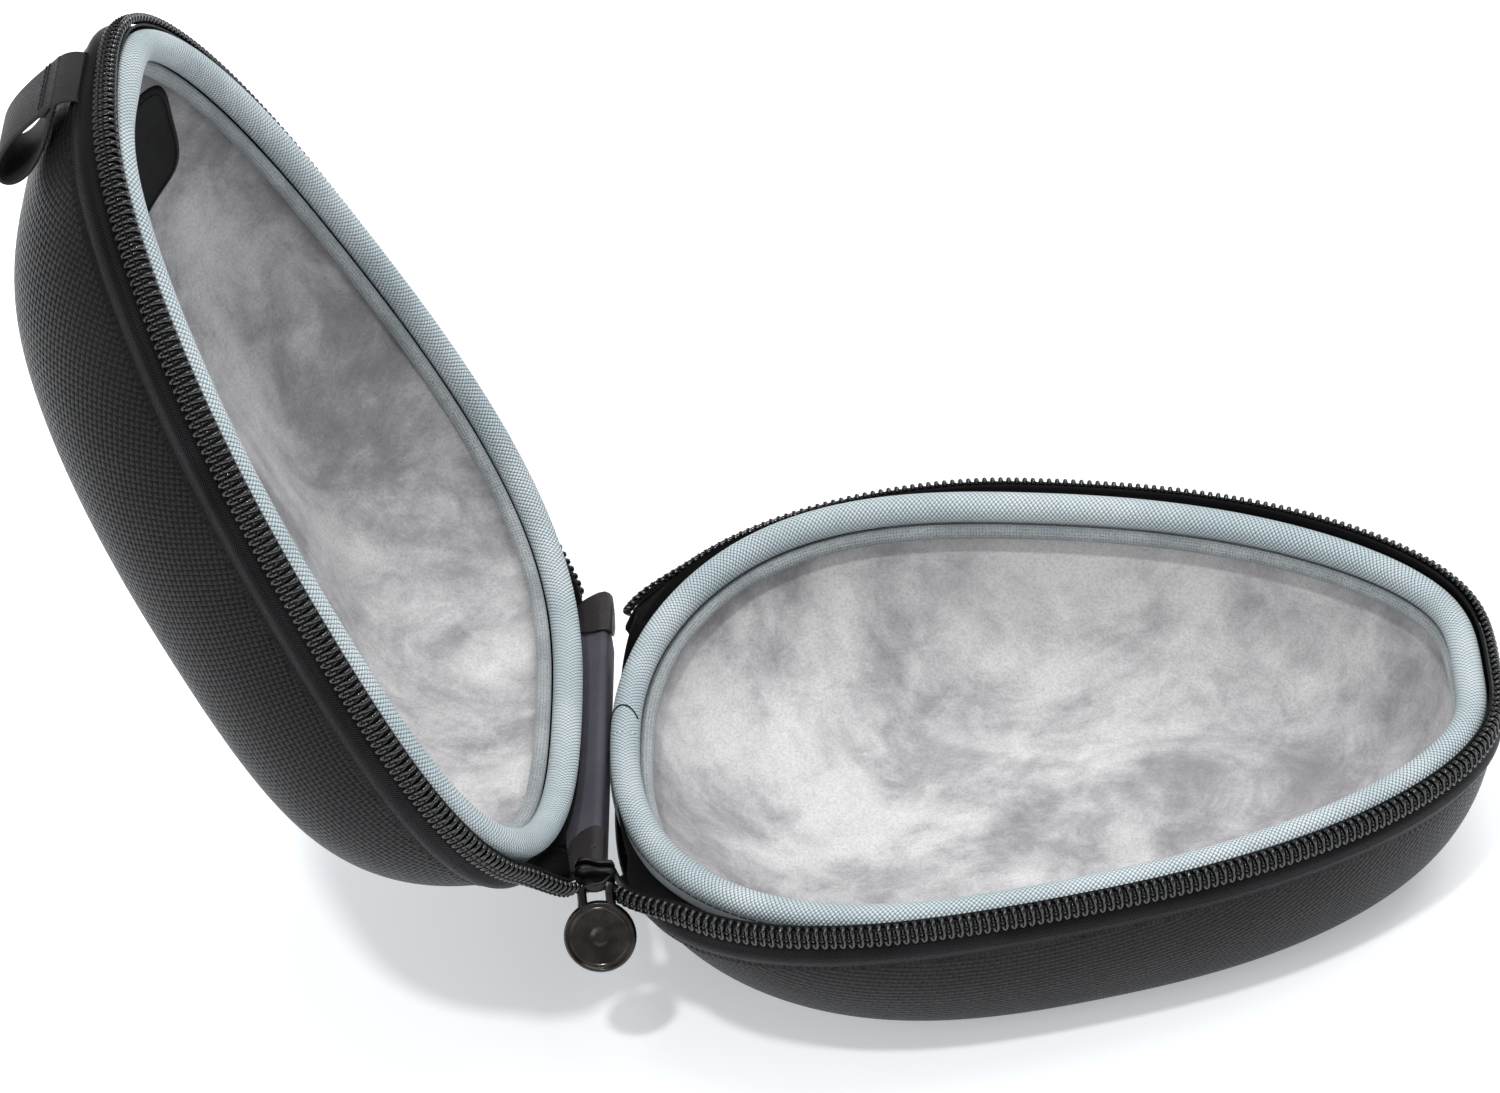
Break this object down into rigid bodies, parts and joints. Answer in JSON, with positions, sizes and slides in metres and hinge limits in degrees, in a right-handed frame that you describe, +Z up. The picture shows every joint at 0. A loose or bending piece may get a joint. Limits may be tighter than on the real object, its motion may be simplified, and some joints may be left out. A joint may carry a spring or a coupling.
{
  "type": "headphone carrying case",
  "caption": "Egg-shaped hard-shell zip case for headphones, lid standing open on a fabric hinge, with padded rims, plush lining, zip puller and webbing handle.",
  "frame": {"origin": "centre of the flat underside of the base, on the surface that the case stands on", "axes": "+X from the hinge to the front, +Y across the case away from the zip puller, +Z up"},
  "size_m": [0.3743, 0.1956, 0.2881],
  "materials": {
    "ballistic_nylon": "coarse black basket weave with a dull sheen",
    "eva_foam": "moulded closed-cell foam",
    "plush": "short velvet pile, mottled warm grey",
    "roll_fabric": "fine blue-grey woven nylon",
    "welt_fabric": "narrow blue-grey binding with a fuzzy edge",
    "foam_cord": "foam filler cord",
    "zipper_tape": "black herringbone woven tape",
    "zipper_coil": "glossy black nylon monofilament",
    "facing_fabric": "plain black woven strip",
    "hinge_fabric": "smooth dark blue-grey coated cloth",
    "tab_fabric": "smooth brownish black coated cloth",
    "gunmetal": "dark bronze gunmetal plating, satin",
    "webbing": "dark grey smooth folded webbing",
    "label": "blank black woven label"
  },
  "bodies": {
    "base": {"base_cover": "ballistic_nylon", "base_core": "eva_foam", "base_lining": "plush", "base_facing": "facing_fabric", "base_roll": "roll_fabric", "base_roll_cord": "foam_cord", "base_welt": "welt_fabric", "base_zipper_tape": "zipper_tape", "base_zipper_coil": "zipper_coil", "hinge_panel": "hinge_fabric", "hinge_tab_near": "tab_fabric", "hinge_tab_far": "tab_fabric", "slider_body": "gunmetal"},
    "lid": {"lid_cover": "ballistic_nylon", "lid_core": "eva_foam", "lid_lining": "plush", "lid_facing": "facing_fabric", "lid_roll": "roll_fabric", "lid_roll_cord": "foam_cord", "lid_welt": "welt_fabric", "lid_zipper_tape": "zipper_tape", "lid_zipper_coil": "zipper_coil", "label_patch": "label"},
    "puller": {"puller": "gunmetal"},
    "handle": {"handle_strap": "webbing"}
  },
  "joints": [
    {"name": "lid_hinge", "type": "hinge", "parent": "base", "child": "lid", "pos_m": [-0.124, 0, 0.059], "axis": [0, 1, 0], "range_deg": [0, 111.5], "deforming": ["hinge_panel", "hinge_tab_near", "hinge_tab_far"]},
    {"name": "puller_swing", "type": "hinge", "parent": "base", "child": "puller", "pos_m": [-0.1235, -0.0651, 0.0605], "axis": [-1, 0, 0], "range_deg": [-35, 90]},
    {"name": "handle_fold", "type": "hinge", "parent": "lid", "child": "handle", "pos_m": [-0.23078, 0, 0.2837], "axis": [0, 1, 0], "range_deg": [0, 90]}
  ]
}
